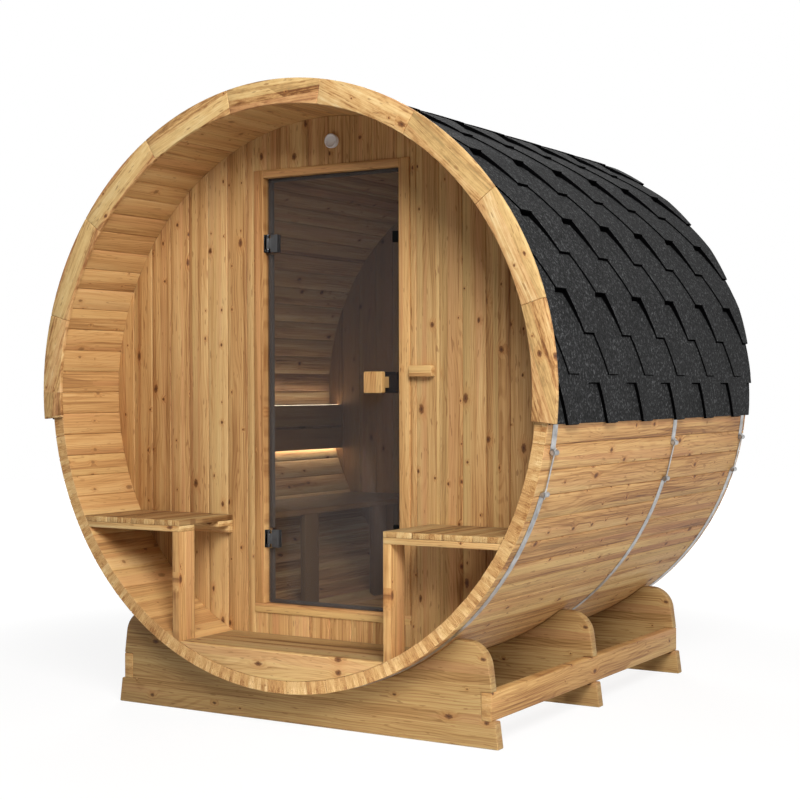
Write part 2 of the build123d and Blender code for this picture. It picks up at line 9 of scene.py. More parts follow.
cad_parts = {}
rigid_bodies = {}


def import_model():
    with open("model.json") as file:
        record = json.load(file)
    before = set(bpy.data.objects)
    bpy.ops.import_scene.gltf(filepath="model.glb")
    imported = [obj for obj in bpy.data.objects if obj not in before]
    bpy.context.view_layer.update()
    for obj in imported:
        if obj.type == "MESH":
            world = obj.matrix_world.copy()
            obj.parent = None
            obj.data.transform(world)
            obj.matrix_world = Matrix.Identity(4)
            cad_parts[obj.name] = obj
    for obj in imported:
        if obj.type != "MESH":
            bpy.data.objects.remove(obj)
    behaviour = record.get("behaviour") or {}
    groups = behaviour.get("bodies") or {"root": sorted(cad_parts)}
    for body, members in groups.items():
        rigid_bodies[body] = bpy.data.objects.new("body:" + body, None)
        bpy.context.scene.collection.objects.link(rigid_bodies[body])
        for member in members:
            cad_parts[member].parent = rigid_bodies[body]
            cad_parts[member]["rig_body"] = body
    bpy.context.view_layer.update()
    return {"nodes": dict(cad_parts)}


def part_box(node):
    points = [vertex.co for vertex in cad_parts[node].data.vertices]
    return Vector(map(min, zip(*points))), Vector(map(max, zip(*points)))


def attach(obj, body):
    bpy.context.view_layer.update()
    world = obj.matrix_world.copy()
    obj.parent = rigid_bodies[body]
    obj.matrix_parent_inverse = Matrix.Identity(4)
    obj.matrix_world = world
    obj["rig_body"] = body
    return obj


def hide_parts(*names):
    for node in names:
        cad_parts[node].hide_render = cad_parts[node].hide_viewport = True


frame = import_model()
NODES = frame["nodes"]

# Places in metres, as in the CAD
AXIS_Z = 1.12                       # height of the barrel's axis
HALF_LENGTH = 0.8925                # half the staves' length
WALL_Y = 0.305 - HALF_LENGTH        # front face of the front wall
GLASS_Y = 0.32 - HALF_LENGTH        # front of the door's glass
CABIN_Y = 0.347 - HALF_LENGTH       # rear face of the front wall
REST_MIDDLE_Z = 0.96                # halfway up the backrest
BAND_WIDTH = 0.031
# Middles of the bands, from the staves' front ends
BAND_PLACES = (0.055, 0.579 * 2 * HALF_LENGTH, 2 * HALF_LENGTH - 0.040)

# Grids that the grain of the boards follows: layout, pitch and the place of a joint
STAVE_GRID = ("round", math.tau / 78, 0.0)
FASCIA_GRID = ("arch", math.radians(190.8 / 9), math.radians(-5.4))
WALL_GRID = ("xz", 0.0885, -0.348)
DECK_GRID = ("yx", 0.0948, -0.8722)
FLOOR_GRID = ("yx", 0.0993, -0.5452)
SEAT_GRID = ("xy", 0.1092, 0.4156)
REST_GRID = ("zy", 0.103, 0.2)

# Wide steps, for boards that don't lie side by side
SADDLE_GRID = ("zx", 0.6, -1.3)
RAIL_GRID = ("zy", 0.6, -1.3)
SKIRT_GRID = ("zx", 0.5, -1.5)
LEG_GRID = ("yz", 0.5, -1.6)
JAMB_GRID = ("xz", 0.4, -0.5)
HEAD_GRID = ("zx", 0.4, -0.5)


def rad(degrees):
    return math.radians(degrees)


# Shader building

class Graph:
    """Short calls for building a material's nodes."""

    def __init__(self, name):
        self.material = bpy.data.materials.new(name)
        self.material.use_nodes = True
        self.tree = self.material.node_tree
        self.tree.nodes.clear()
        self.output = self.tree.nodes.new("ShaderNodeOutputMaterial")
        self.coords = self.tree.nodes.new("ShaderNodeTexCoord")

    def put(self, socket, value):
        """Links a socket, or sets a plain value."""
        if isinstance(value, bpy.types.NodeSocket):
            self.tree.links.new(value, socket)
        elif value is not None:
            socket.default_value = value

    def node(self, kind, inputs=None, **settings):
        made = self.tree.nodes.new(kind)
        for key, value in settings.items():
            setattr(made, key, value)
        for key, value in (inputs or {}).items():
            self.put(made.inputs[key], value)
        return made

    def math(self, operation, a, b=None, c=None):
        made = self.node("ShaderNodeMath", operation=operation)
        for index, value in enumerate((a, b, c)):
            self.put(made.inputs[index], value)
        return made.outputs[0]

    def swing(self, value, amount, middle=0.0):
        """A number from 0 to 1, turned into a swing of that amount about the middle."""
        return self.math("MULTIPLY_ADD", value, amount, middle - amount / 2)

    def smooth(self, value, low, high, out_low=0.0, out_high=1.0):
        made = self.node("ShaderNodeMapRange", interpolation_type="SMOOTHSTEP")
        for key, item in zip(("Value", "From Min", "From Max", "To Min", "To Max"),
                             (value, low, high, out_low, out_high)):
            self.put(made.inputs[key], item)
        return made.outputs[0]

    def vector(self, x, y, z=0.0):
        return self.node("ShaderNodeCombineXYZ", {"X": x, "Y": y, "Z": z}).outputs[0]

    def scaled(self, a, scale_a, b, scale_b, third=0.0):
        """Vector of two coordinates, each times its own scale, and a third value."""
        return self.vector(self.math("MULTIPLY", a, scale_a), self.math("MULTIPLY", b, scale_b),
                           third)

    def split(self, vector):
        made = self.node("ShaderNodeSeparateXYZ", {"Vector": vector})
        return made.outputs[0], made.outputs[1], made.outputs[2]

    def parts(self, colour):
        made = self.node("ShaderNodeSeparateColor", {"Color": colour})
        return made.outputs[0], made.outputs[1], made.outputs[2]

    def noise(self, vector, scale=1.0, detail=2.0, roughness=0.5, distortion=0.0):
        made = self.node("ShaderNodeTexNoise", {
            "Vector": vector, "Scale": scale, "Detail": detail,
            "Roughness": roughness, "Distortion": distortion})
        return made.outputs["Fac"]

    def random(self, value):
        made = self.node("ShaderNodeTexWhiteNoise", {"W": value}, noise_dimensions="1D")
        return made.outputs["Value"]

    def cells(self, vector, randomness=1.0):
        return self.node("ShaderNodeTexVoronoi", {
            "Vector": vector, "Scale": 1.0, "Randomness": randomness},
            voronoi_dimensions="2D", feature="F1")

    def lanes(self, value, scale, randomness=1.0):
        """Three random numbers for each lane along one coordinate."""
        made = self.node("ShaderNodeTexVoronoi", {
            "W": value, "Scale": scale, "Randomness": randomness},
            voronoi_dimensions="1D", feature="F1")
        return self.parts(made.outputs["Color"])

    def mix(self, factor, a, b, blend="MIX"):
        made = self.node("ShaderNodeMix", data_type="RGBA", blend_type=blend)
        self.put(made.inputs[0], factor)
        self.put(made.inputs[6], a)
        self.put(made.inputs[7], b)
        return made.outputs[2]

    def ramp(self, value, stops):
        made = self.node("ShaderNodeValToRGB", {"Fac": value})
        elements = made.color_ramp.elements
        while len(elements) < len(stops):
            elements.new(0.5)
        for element, (position, colour) in zip(elements, stops):
            element.position = position
            element.color = (*colour, 1.0)
        return made.outputs["Color"]

    def surface(self, **inputs):
        """The principled surface, with its sockets named in lower case."""
        made = self.node("ShaderNodeBsdfPrincipled", {
            key.replace("_", " ").title().replace("Ior", "IOR"): value
            for key, value in inputs.items()})
        self.tree.links.new(made.outputs[0], self.output.inputs["Surface"])
        return made

    def bump(self, height, strength, distance):
        return self.node("ShaderNodeBump", {
            "Height": height, "Strength": strength, "Distance": distance}).outputs[0]


def rgb(red, green, blue):
    return (red, green, blue, 1.0)


# Pine, in linear light
PINE_TONES = [
    (0.00, (0.150, 0.055, 0.015)), (0.20, (0.335, 0.155, 0.050)), (0.42, (0.545, 0.305, 0.115)),
    (0.66, (0.665, 0.425, 0.180)), (1.00, (0.760, 0.560, 0.290))]
END_TONES = [
    (0.00, (0.24, 0.095, 0.028)), (0.28, (0.49, 0.260, 0.092)),
    (0.58, (0.67, 0.440, 0.190)), (1.00, (0.84, 0.650, 0.370))]
ROSY_STRIP = rgb(0.60, 0.29, 0.13)
STRAW_STRIP = rgb(0.66, 0.47, 0.19)
HAIR_LINE = rgb(0.26, 0.115, 0.038)
DARK_STROKE = rgb(0.22, 0.085, 0.024)
KNOT_HALO = rgb(0.44, 0.18, 0.050)
KNOT_BODY = rgb(0.165, 0.055, 0.015)
KNOT_CORE = rgb(0.045, 0.016, 0.007)
END_SPECK = rgb(0.24, 0.09, 0.03)
PLAIN_INNER = rgb(0.56, 0.325, 0.130)
# painted shade of the staves inside the unlit cabin
CABIN_PAINTED_SHADE = rgb(0.74, 0.80, 1.0)
KNOT_CELL = (0.050, 0.150)          # cell with at most one knot, across and along the board


def board_frame(g, grid, seed):
    """Place across, along and into the boards, a mask of their ends, and two chances per board."""
    layout, pitch, offset = grid
    x, y, z = g.split(g.coords.outputs["Object"])
    normal = g.split(g.coords.outputs["Normal"])
    z = g.math("SUBTRACT", z, AXIS_Z)
    axes = {"x": x, "y": y, "z": z}
    slot = g.math("ARCTAN2", z, x) if layout in ("round", "arch") else axes[layout[0]]
    board = g.math("FLOOR", g.math("DIVIDE", g.math("SUBTRACT", slot, offset), pitch))
    key = g.math("ADD", board, seed)
    chance = g.random(key)
    chance_b = g.random(g.math("ADD", key, 91.7))
    if layout == "round":
        radius = g.math("SQRT", g.math("ADD", g.math("MULTIPLY", x, x), g.math("MULTIPLY", z, z)))
        return slot, y, radius, g.math("ABSOLUTE", normal[1]), chance, chance_b
    if layout == "arch":
        heading = g.math("ADD", g.math("MULTIPLY_ADD", board, pitch, offset + pitch / 2),
                         g.swing(chance_b, 0.56))
        cosine, sine = g.math("COSINE", heading), g.math("SINE", heading)
        across = g.math("ADD", g.math("MULTIPLY", x, cosine), g.math("MULTIPLY", z, sine))
        along = g.math("SUBTRACT", g.math("MULTIPLY", z, cosine), g.math("MULTIPLY", x, sine))
        return across, along, y, None, chance, chance_b
    depth = axes[({"x", "y", "z"} - set(layout)).pop()]
    end = g.math("ABSOLUTE", normal["xyz".index(layout[1])])
    return axes[layout[0]], axes[layout[1]], depth, end, chance, chance_b


def knot_masks(g, across, along, share):
    """Masks of the knots, their cores and their halos, in a share of a stretched grid's cells."""
    wide, tall = KNOT_CELL
    spot = g.cells(g.vector(g.math("DIVIDE", across, wide), g.math("DIVIDE", along, tall)),
                   randomness=0.85)
    place = g.split(spot.outputs["Position"])
    luck = g.parts(spot.outputs["Color"])
    off_across = g.math("SUBTRACT", across, g.math("MULTIPLY", place[0], wide))
    off_along = g.math("SUBTRACT", along, g.math("MULTIPLY", place[1], tall))
    size = g.math("MULTIPLY_ADD", g.math("POWER", luck[1], 2.0), 0.0078, 0.0026)
    length = g.math("MULTIPLY", size, g.math("MULTIPLY_ADD", luck[2], 1.1, 1.0))
    near = g.math("SQRT", g.math("ADD",
                  g.math("POWER", g.math("DIVIDE", off_across, size), 2.0),
                  g.math("POWER", g.math("DIVIDE", off_along, length), 2.0)))
    ragged = g.noise(g.scaled(across, 190.0, along, 110.0))
    near = g.math("ADD", near, g.swing(ragged, 0.9))
    has = g.math("LESS_THAN", luck[0], share)
    return [g.math("MULTIPLY", g.smooth(near, low, high, 1.0, 0.0), has)
            for low, high in ((0.70, 1.20), (0.10, 0.70), (0.9, 3.4))]


def end_grain(g, across, depth, chance, cell, light):
    """Narrow blocks of differing tone, with short arcs of growth rings and dark specks."""
    block = g.lanes(across, 1.0 / cell, randomness=0.8)
    lean = g.swing(block[1], 2.4)
    bend = g.math("ADD", g.math("MULTIPLY", across, lean), depth)
    bend = g.math("ADD", bend,
                  g.math("MULTIPLY", g.noise(g.scaled(across, 40.0, depth, 40.0)), 0.014))
    arcs = g.math("SINE", g.math("MULTIPLY", bend, 1200.0))
    pores = g.noise(g.scaled(across, 210.0, depth, 40.0), detail=3.0, roughness=0.65)
    tone = g.math("MULTIPLY_ADD", block[0], 0.44, 0.27)
    tone = g.math("ADD", tone, g.swing(chance, 0.14))
    tone = g.math("ADD", tone, g.math("MULTIPLY", g.smooth(arcs, 0.1, 1.0), -0.20))
    tone = g.math("ADD", tone, g.swing(pores, 1.2))
    speck = g.noise(g.scaled(across, 70.0, depth, 70.0))
    colour = g.mix(g.smooth(speck, 0.62, 0.74, 0.0, 0.70), g.ramp(tone, END_TONES), END_SPECK)
    # painted light: the ends made lighter than the board's faces
    if light != 1.0:
        colour = g.mix(1.0, colour, rgb(light, light, light), "MULTIPLY")
    return colour


def wood(name, grid, tint=(1.0, 1.0, 1.0), strip=0.024, knots=0.42, seed=0.0, contrast=1.0,
         end_cell=0.013, strokes=0.50, end_light=1.0, end_share=1.0):
    """Knotty softwood laid out on the boards' own grid, with end grain on the boards' ends.

    grid is (layout, pitch, offset): "round" is staves along Y around the axis, "arch" is straight
    boards set around the arc, and "xz" and the like name the across and the along axis of flat
    boards. strip is the width of the colour strips, knots the share of cells with a knot, contrast
    the spread of the tones, and strokes how many short dark strokes there are. The end grain has
    blocks end_cell wide, is brightened by end_light, and covers the ends by end_share.
    """
    g = Graph(name)
    across, along, depth, end, chance, chance_b = board_frame(g, grid, seed)
    across_s = g.math("ADD", across, g.math("MULTIPLY", chance_b, 3.7))
    along_s = g.math("ADD", along, g.math("MULTIPLY", chance, 9.1))
    knot, core, halo = knot_masks(g, across_s, along_s, knots)

    # strips, clouds and hair lines along the board, and rings and grain that bend round its knots
    pulled = g.math("ADD", across_s, g.math("MULTIPLY", halo, 0.010))
    streak = g.parts(g.cells(g.vector(g.math("DIVIDE", across_s, strip),
                                      g.math("DIVIDE", along_s, 1.1))).outputs["Color"])
    lane = g.lanes(across_s, 0.8 / strip)
    sway = g.noise(g.scaled(across_s, 8.0, along_s, 1.5, chance_b))
    ring_at = g.math("ADD", g.math("MULTIPLY", pulled, 640.0), g.math("MULTIPLY", sway, 95.0))
    rings = g.smooth(g.math("SINE", ring_at), 0.0, 1.0)
    fine = g.noise(g.scaled(pulled, 150.0, along_s, 2.6, g.math("MULTIPLY", depth, 50.0)),
                   detail=3.0, roughness=0.66)
    hair = g.noise(g.scaled(across_s, 430.0, along_s, 8.0), roughness=0.6)
    cloud = g.noise(g.scaled(across_s, 11.0, along_s, 2.4, chance))
    stroke = g.noise(g.scaled(across_s, 120.0, along_s, 20.0, chance), detail=1.0)

    tone = g.swing(chance, 0.20 * contrast, 0.46)
    for value, amount in ((streak[0], 0.22 * contrast), (lane[1], 0.22 * contrast),
                          (fine, 0.85 * contrast), (cloud, 0.40)):
        tone = g.math("ADD", tone, g.swing(value, amount))
    tone = g.math("SUBTRACT", tone, g.math("MULTIPLY", rings, 0.10))
    if grid[0] == "arch":
        mottle = g.noise(g.scaled(across_s, 58.0, along_s, 20.0, g.math("MULTIPLY", depth, 20.0)),
                         detail=4.0, roughness=0.7)
        tone = g.math("ADD", tone, g.swing(mottle, 1.1))

    colour = g.ramp(tone, PINE_TONES)
    marks = g.smooth(stroke, 0.72 - 0.12 * strokes, 0.80 - 0.12 * strokes)
    for mask, share, shade in ((g.smooth(streak[2], 0.66, 0.95), 0.40, ROSY_STRIP),
                               (g.smooth(lane[0], 0.60, 0.95), 0.42, STRAW_STRIP),
                               (g.smooth(hair, 0.56, 0.72), 0.46, HAIR_LINE),
                               (marks, 0.30 + 0.45 * strokes, DARK_STROKE),
                               (halo, 0.36, KNOT_HALO),
                               (knot, 0.90, KNOT_BODY),
                               (core, 0.70, KNOT_CORE)):
        colour = g.mix(g.math("MULTIPLY", mask, share), colour, shade)
    if end is not None:
        end_colour = end_grain(g, across_s, depth, chance, end_cell, end_light)
        colour = g.mix(g.smooth(end, 0.68, 0.78, 0.0, end_share), colour, end_colour)
    if grid[0] == "round":
        # the staves are plainer on their inner side, and carry a painted shade, darker and greyer,
        # in the cabin
        inner = g.smooth(depth, 0.985, 0.975)
        cabin = g.math("MULTIPLY", g.smooth(along, CABIN_Y - 0.001, CABIN_Y), inner)
        porch = g.math("SUBTRACT", inner, cabin)
        colour = g.mix(g.math("MULTIPLY", porch, 0.36), colour, PLAIN_INNER)
        colour = g.mix(cabin, colour, CABIN_PAINTED_SHADE, "MULTIPLY")

    colour = g.mix(1.0, colour, rgb(*tint), "MULTIPLY")
    height = g.math("ADD", g.math("MULTIPLY", fine, 0.55), g.math("MULTIPLY", hair, 0.45))
    height = g.math("SUBTRACT", height, g.math("MULTIPLY", knot, 0.35))
    g.surface(base_color=colour, roughness=g.math("MULTIPLY_ADD", fine, 0.18, 0.48),
              specular_ior_level=0.28, normal=g.bump(height, 0.25, 0.0012))
    return g.material


def shingle_material():
    """Charcoal mineral granules with paler specks."""
    g = Graph("shingle_granules")
    where = g.coords.outputs["Object"]
    grains = g.node("ShaderNodeTexVoronoi", {"Vector": where, "Scale": 165.0}, feature="F1")
    tone = g.parts(grains.outputs["Color"])
    patch = g.noise(where, scale=7.0, detail=3.0)
    mottle = g.noise(where, scale=75.0, detail=4.0, roughness=0.7)
    value = g.math("ADD", g.math("MULTIPLY", tone[0], 0.46),
                   g.math("ADD", g.math("MULTIPLY", mottle, 0.58), g.math("MULTIPLY", patch, 0.12)))
    colour = g.ramp(value, [
        (0.32, (0.0020, 0.0021, 0.0023)), (0.56, (0.0064, 0.0067, 0.0071)),
        (0.72, (0.0180, 0.0185, 0.0193)), (0.92, (0.1000, 0.1020, 0.1060))])
    height = g.math("ADD", grains.outputs["Distance"], g.math("MULTIPLY", mottle, 0.9))
    g.surface(base_color=colour, roughness=0.9, specular_ior_level=0.2,
              normal=g.bump(height, 0.6, 0.003))
    return g.material


def shingle_edge_and_shadow_material():
    """Bitumen at the cut edges, nearly black, darkened further as painted shade; it also colours
    the painted shadow strips.
    """
    g = Graph("shingle_cut_edge_and_painted_shadow")
    flecks = g.noise(g.coords.outputs["Object"], scale=420.0, detail=2.0)
    colour = g.ramp(flecks, [(0.3, (0.0008, 0.0008, 0.0009)), (0.8, (0.0030, 0.0030, 0.0033))])
    g.surface(base_color=colour, roughness=0.95, specular_ior_level=0.0)
    return g.material


def metal_material(name, dark, light, roughness, metallic=1.0, smear_scale=38.0, dent=0.0):
    """Metal or paint with smears in its colour and gloss and, where asked, soft dents."""
    g = Graph(name)
    where = g.coords.outputs["Object"]
    smear = g.noise(where, scale=smear_scale, detail=3.0, roughness=0.6)
    height = g.noise(where, scale=30.0, detail=2.0)
    g.surface(base_color=g.ramp(smear, [(0.34, dark), (0.66, light)]), metallic=metallic,
              roughness=g.swing(smear, 0.22, roughness),
              normal=g.bump(height, 0.15 + dent, 0.001 + dent * 0.006))
    return g.material


def glass_material():
    """Smoked glass: a thin brown veil over what is behind it, with a glossy face."""
    g = Graph("smoked_glass")
    haze = g.noise(g.coords.outputs["Object"], scale=3.0, detail=2.0)
    colour = g.ramp(haze, [(0.3, (0.046, 0.041, 0.042)), (0.7, (0.052, 0.046, 0.047))])
    g.surface(base_color=colour, roughness=0.04, specular_ior_level=0.30, ior=1.5, alpha=0.25)
    return g.material


def glow_material():
    """Warm diffuser of the light strips, a little uneven along its length."""
    g = Graph("light_strip_glow")
    run = g.noise(g.coords.outputs["Object"], scale=40.0, detail=1.0)
    g.surface(base_color=rgb(1.0, 0.90, 0.72), roughness=0.5,
              emission_color=rgb(1.0, 0.82, 0.58),
              emission_strength=g.math("MULTIPLY_ADD", run, 10.0, 22.0))
    return g.material


def plastic_material(name, colour, roughness, gloss=0.4):
    """Plain plastic or rubber with a fine grain."""
    g = Graph(name)
    grain = g.noise(g.coords.outputs["Object"], scale=260.0, detail=2.0)
    dark = tuple(channel * 0.93 for channel in colour)
    g.surface(base_color=g.ramp(grain, [(0.35, dark), (0.65, colour)]), roughness=roughness,
              specular_ior_level=gloss, normal=g.bump(grain, 0.1, 0.0005))
    return g.material


STAVE_WOOD = wood("stave_pine", STAVE_GRID, strip=0.026, seed=3.0, contrast=1.35, end_cell=0.017)
# painted shade: the saddles are tinted darker than the staves, for the shade under the barrel
SADDLE_WOOD = wood("saddle_pine", SADDLE_GRID, strip=0.034, knots=0.34, seed=51.0, contrast=0.8,
                   tint=(0.70, 0.77, 0.78), end_share=0.45)
RAIL_WOOD = wood("rail_pine", RAIL_GRID, strip=0.03, knots=0.3, seed=61.0,
                 tint=(0.88, 0.90, 0.88), end_share=0.40)
WALL_WOOD = wood("wall_pine", WALL_GRID, strip=0.019, seed=17.0, contrast=0.85,
                 tint=(0.93, 0.95, 0.98))
# painted shade: the rear wall's cabin side, tinted dark for the unlit cabin
REAR_INNER_SHADED_WOOD = wood("rear_wall_inner_pine_painted_shade", WALL_GRID, strip=0.030, seed=19.0, contrast=0.7,
                 tint=(0.38, 0.38, 0.40))
FRAME_WOOD_Z = wood("frame_pine_upright", JAMB_GRID, strip=0.022, knots=0.2, seed=71.0,
                    contrast=0.7)
FRAME_WOOD_X = wood("frame_pine_level", HEAD_GRID, strip=0.022, knots=0.2, seed=75.0,
                    contrast=0.7)
KNOB_WOOD = wood("knob_pine", JAMB_GRID, strip=0.030, knots=0.0, seed=83.0, contrast=0.6)
FASCIA_WOOD = wood("fascia_pine", FASCIA_GRID, strip=0.030, knots=0.40, seed=29.0, contrast=1.5,
                   strokes=0.65, tint=(1.0, 1.03, 1.07))
# painted shade: the deck is tinted darker, for the shade under the porch roof
DECK_WOOD = wood("deck_pine", DECK_GRID, strip=0.030, knots=0.3, seed=37.0, contrast=1.3,
                 tint=(0.61, 0.63, 0.64))
# painted light: the skirt, and the benches' flat boards, are tinted lighter and paler than the
# other pine
SKIRT_WOOD = wood("skirt_pine", SKIRT_GRID, strip=0.03, knots=0.3, seed=41.0,
                  tint=(1.05, 1.12, 1.18))
# painted shade on the seats' tops, tinted darker, and painted light on their front ends, brightened
# by end_light
SEAT_WOOD = wood("seat_pine", SEAT_GRID, strip=0.022, knots=0.3, seed=43.0, contrast=2.1,
                 tint=(0.55, 0.55, 0.54), end_cell=0.019, end_light=1.6)
LEG_WOOD = wood("leg_pine", LEG_GRID, strip=0.022, knots=0.3, seed=47.0, contrast=1.4)
# Painted shade: the cabin's woods are tinted far darker than the porch's, for the unlit cabin
SHADED_CABIN_WOOD_Z = wood("cabin_upright_pine_painted_shade", LEG_GRID, strip=0.03, knots=0.1, seed=53.0,
                    contrast=0.5, tint=(0.17, 0.155, 0.16))
SHADED_CABIN_WOOD_Y = wood("cabin_long_pine_painted_shade", REST_GRID, strip=0.03, knots=0.1, seed=57.0,
                    contrast=0.5, tint=(0.33, 0.31, 0.32))
SHADED_CABIN_SEAT_WOOD = wood("cabin_seat_pine_painted_shade", SEAT_GRID, strip=0.03, knots=0.1, seed=55.0,
                       contrast=0.5, tint=(0.24, 0.23, 0.24))
FLOOR_WOOD = wood("floor_pine", FLOOR_GRID, strip=0.030, knots=0.3, seed=59.0)
SHINGLE = shingle_material()
SHINGLE_EDGE_AND_SHADOW = shingle_edge_and_shadow_material()
BAND_METAL = metal_material("band_steel", (0.27, 0.265, 0.26), (0.50, 0.495, 0.49), 0.40,
                            smear_scale=34.0, dent=0.25)
BRACKET_METAL = metal_material("bracket_black_chrome", (0.030, 0.031, 0.034),
                               (0.060, 0.062, 0.066), 0.16)
BLACK_METAL = metal_material("black_hinge_paint", (0.022, 0.022, 0.024), (0.034, 0.035, 0.037),
                             0.45, metallic=0.0)
GLASS = glass_material()
GLOW = glow_material()
VENT_GREY = plastic_material("vent_grey", (0.78, 0.77, 0.78), 0.45)
# painted shade for the door stops
STOP_SHADE_GREY = plastic_material("door_stop_painted_shade", (0.110, 0.092, 0.080), 0.65, gloss=0.1)
# black of the door clips, and the painted shade of the inner knob
BLACK_CLIPS_AND_KNOB_SHADE = plastic_material("clip_black_and_knob_painted_shade", (0.004, 0.004, 0.004), 0.7, gloss=0.03)
STRIP_CASE = plastic_material("light_strip_case", (0.16, 0.16, 0.17), 0.5)


# Geometry helpers

SHARP = rad(32)             # edges sharper than this are shaded as edges
HARD = rad(28)              # edges sharper than this are eased
FLAT = rad(1.0)             # faces that meet within this are joined first
SAME_POINT = 1e-6


def new_piece(name, bm, body, slot, *materials):
    """Makes a finished bmesh into a piece that rides on a body."""
    mesh = bpy.data.meshes.new(name)
    bm.to_mesh(mesh)
    bm.free()
    for material in materials:
        mesh.materials.append(material)
    mesh.set_sharp_from_angle(angle=SHARP)
    piece = bpy.data.objects.new(name, mesh)
    bpy.context.scene.collection.objects.link(piece)
    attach(piece, body)
    return piece


def eased(node, width, slot, *materials, pick=None, segments=2):
    """A copy of a CAD node with its hard edges eased, shown in the node's place.

    pick gives the number of a face's material, where there is more than one.
    """
    bm = bmesh.new()
    bm.from_mesh(NODES[node].data)
    bmesh.ops.remove_doubles(bm, verts=bm.verts, dist=SAME_POINT)
    bmesh.ops.dissolve_limit(bm, angle_limit=FLAT, verts=bm.verts, edges=bm.edges)
    edges = [e for e in bm.edges if len(e.link_faces) == 2 and e.calc_face_angle(0.0) > HARD]
    bmesh.ops.bevel(bm, geom=edges, offset=width, offset_type="OFFSET", segments=segments,
                    profile=0.5, affect="EDGES", clamp_overlap=True)
    bm.normal_update()
    for face in bm.faces:
        face.smooth = True
        if pick:
            face.material_index = pick(face)
    piece = new_piece(node + "_eased", bm, NODES[node]["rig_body"], slot, *materials)
    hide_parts(node)


def island_pick(rule):
    """A pick that gives each separate solid one material, from its box's size and middle."""
    cache = {}

    def pick(face):
        if face.index in cache and cache[face.index][0] is face:
            return cache[face.index][1]
        seen, stack = {face}, [face]
        while stack:
            current = stack.pop()
            for edge in current.edges:
                for other in edge.link_faces:
                    if other not in seen:
                        seen.add(other)
                        stack.append(other)
        points = [v.co for f in seen for v in f.verts]
        low = Vector(tuple(min(p[i] for p in points) for i in range(3)))
        high = Vector(tuple(max(p[i] for p in points) for i in range(3)))
        choice = rule(high - low, (high + low) / 2)
        for f in seen:
            cache[f.index] = (f, choice)
        return choice
    return pick


def carry(node, material):
    """A CAD node that stays as it is, with its finished material."""
    mesh = NODES[node].data
    mesh.materials.clear()
    mesh.materials.append(material)


# Timber

for index in range(1, 7):
    eased(f"staves_{index:02d}", 0.0008, "stave_wood", STAVE_WOOD, segments=1)
for node in ("saddle_front", "saddle_middle", "saddle_back"):
    eased(node, 0.004, "saddle_wood", SADDLE_WOOD, segments=3)
for node in ("rail_left", "rail_right"):
    eased(node, 0.004, "saddle_wood", RAIL_WOOD, segments=3)
for node in ("front_wall_left", "front_wall_right", "front_wall_over_door",
             "front_wall_under_door"):
    eased(node, 0.0006, "wall_wood", WALL_WOOD, segments=1)

# The rear wall's cabin side is darker than its outside: painted shade of the unlit cabin
REAR_LOW, REAR_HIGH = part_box("back_wall_right")
REAR_MIDDLE_Y = (REAR_LOW[1] + REAR_HIGH[1]) / 2
for node in ("back_wall_left", "back_wall_right"):
    eased(node, 0.0006, "wall_wood", REAR_INNER_SHADED_WOOD, WALL_WOOD, segments=1,
          pick=lambda face: 1 if face.calc_center_median().y > REAR_MIDDLE_Y else 0)


def rear_wall_tongues():
    """Tongues that close the joints between the rear wall's boards."""
    wide, thick = 0.008, 0.005
    inset = 0.006           # of the tongues' ends, from the wall's round edge
    margin = 0.05           # no tongue lies nearer to the wall's sides
    _, pitch, joint = WALL_GRID
    radius = REAR_HIGH[0] - inset
    bm = bmesh.new()
    for n in range(-8, 16):
        x = joint + pitch * n
        if abs(x) > radius - margin:
            continue
        height = 2 * math.sqrt(radius ** 2 - x ** 2)
        size = Matrix.Diagonal((wide, thick, height, 1.0))
        bmesh.ops.create_cube(bm, size=1.0,
                              matrix=Matrix.Translation((x, REAR_MIDDLE_Y, AXIS_Z)) @ size)
    bmesh.ops.bevel(bm, geom=bm.edges, offset=0.001, segments=2, profile=0.5, affect="EDGES")
    new_piece("rear_wall_tongues", bm, "sauna", "wall_wood", WALL_WOOD)


rear_wall_tongues()
eased("door_frame", 0.002, "frame_wood", FRAME_WOOD_Z, FRAME_WOOD_X,
      pick=island_pick(lambda size, middle: 0 if size.z > size.x else 1))
# the door stops are dark grey: painted shade of the reveal seen through the glass
eased("door_stops", 0.001, "frame_wood", STOP_SHADE_GREY)
eased("wall_block", 0.003, "frame_wood", FRAME_WOOD_X, segments=3)
# the knob's inner half, behind the glass, gets the near-black clip colour as painted shade of the
# unlit cabin
eased("door_handle", 0.003, "frame_wood", KNOB_WOOD, BLACK_CLIPS_AND_KNOB_SHADE, segments=3,
      pick=island_pick(lambda size, middle: 0 if middle.y < GLASS_Y else 1))
for node in ("front_fascia", "rear_fascia"):
    eased(node, 0.003, "fascia_wood", FASCIA_WOOD, segments=3)
eased("porch_deck", 0.0025, "porch_wood", DECK_WOOD)
eased("porch_skirt", 0.002, "porch_wood", SKIRT_WOOD)


def bench_rule(size, middle):
    """Material number: 1 for a leg, 0 for a slat, and 2 for flat boards and ledgers."""
    if size.z > 0.1:
        return 1
    return 0 if size.y > 0.2 else 2


for node in ("porch_bench_left", "porch_bench_right"):
    eased(node, 0.002, "porch_wood", SEAT_WOOD, LEG_WOOD, SKIRT_WOOD,
          pick=island_pick(bench_rule))
eased("cabin_floor", 0.0025, "cabin_wood", FLOOR_WOOD)
eased("cabin_bench", 0.002, "cabin_wood", SHADED_CABIN_SEAT_WOOD, SHADED_CABIN_WOOD_Z,
      pick=island_pick(lambda size, middle: 1 if size.z > 0.1 else 0))
eased("cabin_backrest", 0.002, "cabin_wood", SHADED_CABIN_WOOD_Y)


# Metal, glass and small fittings

